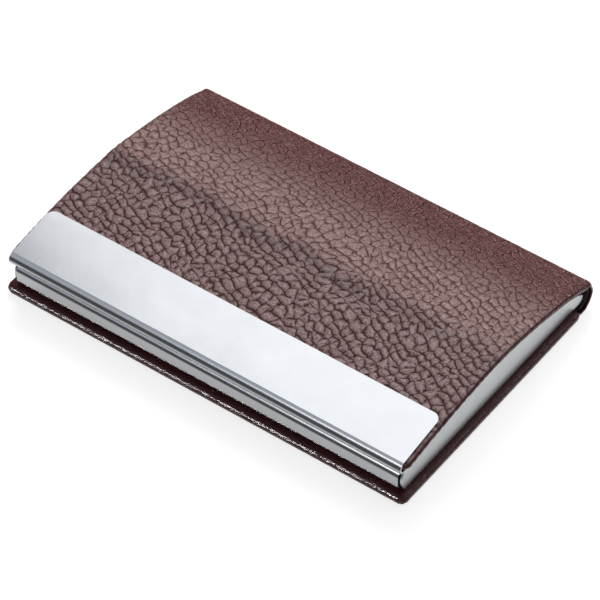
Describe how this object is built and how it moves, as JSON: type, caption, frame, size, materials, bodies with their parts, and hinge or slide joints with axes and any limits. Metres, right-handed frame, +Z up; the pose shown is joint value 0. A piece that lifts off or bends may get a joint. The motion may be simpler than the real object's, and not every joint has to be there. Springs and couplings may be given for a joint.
{
  "type": "business card case",
  "caption": "Slim leather covered case for business cards: steel tray on a base board, bowed flap hinged at the back by its leather wrap, brushed steel clip and strip, magnetic catch.",
  "frame": {"origin": "middle of the closed case on the surface it lies on", "axes": "+X along the front edge to the right, +Y from the front edge to the spine, +Z up"},
  "size_m": [0.095, 0.065, 0.013],
  "materials": {
    "leather": "pebble grain, semi gloss",
    "lining": "matt black lining",
    "board": "grey brown fibre board",
    "tape": "double sided tape",
    "tray_steel": "satin",
    "brushed_steel": "brushed along the length",
    "plastic": "moulded",
    "magnet": "nickel plated"
  },
  "bodies": {
    "base": {"base_board": "board", "base_leather": "leather", "tray_tape": "tape", "card_tray": "tray_steel", "front_strip": "brushed_steel", "magnet_holder": "plastic", "tray_magnet_left": "magnet", "tray_magnet_right": "magnet"},
    "spine": {"spine_leather": "leather", "spine_lining": "lining"},
    "flap": {"flap_board": "board", "flap_leather": "leather", "flap_lining": "lining", "front_clip": "brushed_steel", "flap_magnet_left": "magnet", "flap_magnet_right": "magnet"}
  },
  "joints": [
    {"name": "spine_hinge", "type": "hinge", "parent": "base", "child": "spine", "pos_m": [0, 0.03053, 0.00097], "axis": [-1, 0, 0], "range_deg": [0, 65]},
    {"name": "flap_hinge", "type": "hinge", "parent": "spine", "child": "flap", "pos_m": [0, 0.03183, 0.00487], "axis": [-1, 0, 0], "range_deg": [0, 100]}
  ],
  "couplings": [
    {"joint": "spine_hinge", "follows": "flap_hinge", "ratio": 0.65}
  ]
}
